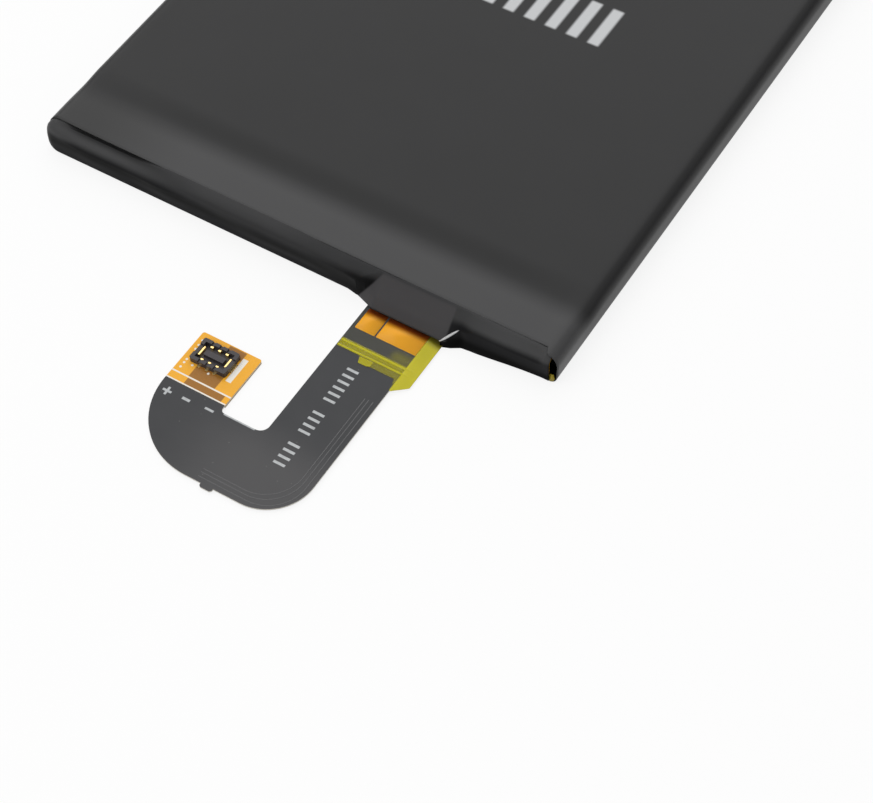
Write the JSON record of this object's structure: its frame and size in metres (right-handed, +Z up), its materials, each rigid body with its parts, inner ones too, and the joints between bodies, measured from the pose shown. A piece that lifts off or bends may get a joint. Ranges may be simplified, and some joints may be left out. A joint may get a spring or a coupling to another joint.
{
  "type": "mobile phone battery",
  "caption": "Slim pouch battery pack in black film, with a taped header and a U-shaped flexible tail that ends in a small board connector.",
  "frame": {"origin": "middle of the underside of the film-wrapped pack, tail not counted", "axes": "+X across the width, +Y along the length away from the tail, +Z up out of the main face"},
  "size_m": [0.062, 0.1189, 0.004],
  "materials": {
    "black_film": "satin",
    "black_tape": "satin",
    "pouch_foil": "satin",
    "tab_aluminium": "satin",
    "tab_nickel": "satin",
    "tab_seal_polymer": "satin",
    "adhesive_foam": "matte",
    "board_laminate": "semi-gloss",
    "chip_resin": "matte",
    "chip_ceramic": "satin",
    "polyimide_yellow": "gloss",
    "polyimide_amber": "gloss",
    "flex_black": "satin",
    "copper": "satin",
    "contact_gold": "polished",
    "connector_resin": "satin",
    "stiffener_laminate": "matte",
    "solder": "polished"
  },
  "bodies": {
    "root": {"label_wrap": "black_film", "header_tape": "black_tape", "pouch_cell": "pouch_foil", "positive_tab": "tab_aluminium", "negative_tab": "tab_nickel", "positive_tab_seal": "tab_seal_polymer", "negative_tab_seal": "tab_seal_polymer", "terrace_foam": "adhesive_foam", "protection_board": "board_laminate", "protection_chip": "chip_resin", "mosfet_pair": "chip_resin", "chip_resistors": "chip_ceramic", "chip_capacitors": "chip_ceramic", "temperature_sensor": "chip_ceramic", "cutoff_fuse": "chip_ceramic", "positive_weld_plate": "tab_nickel", "negative_weld_plate": "tab_nickel", "board_insulation_tape": "polyimide_yellow", "flex_base_film": "polyimide_amber", "flex_top_coverlay": "flex_black", "flex_bottom_coverlay": "flex_black", "pad_coverlay": "polyimide_amber", "pad_stiffener": "stiffener_laminate", "positive_trace": "copper", "negative_trace": "copper", "signal_traces": "copper", "flex_solder": "solder", "flex_root_tape": "polyimide_yellow", "connector_housing": "connector_resin", "signal_contacts": "contact_gold", "power_contacts": "contact_gold"}
  },
  "joints": []
}
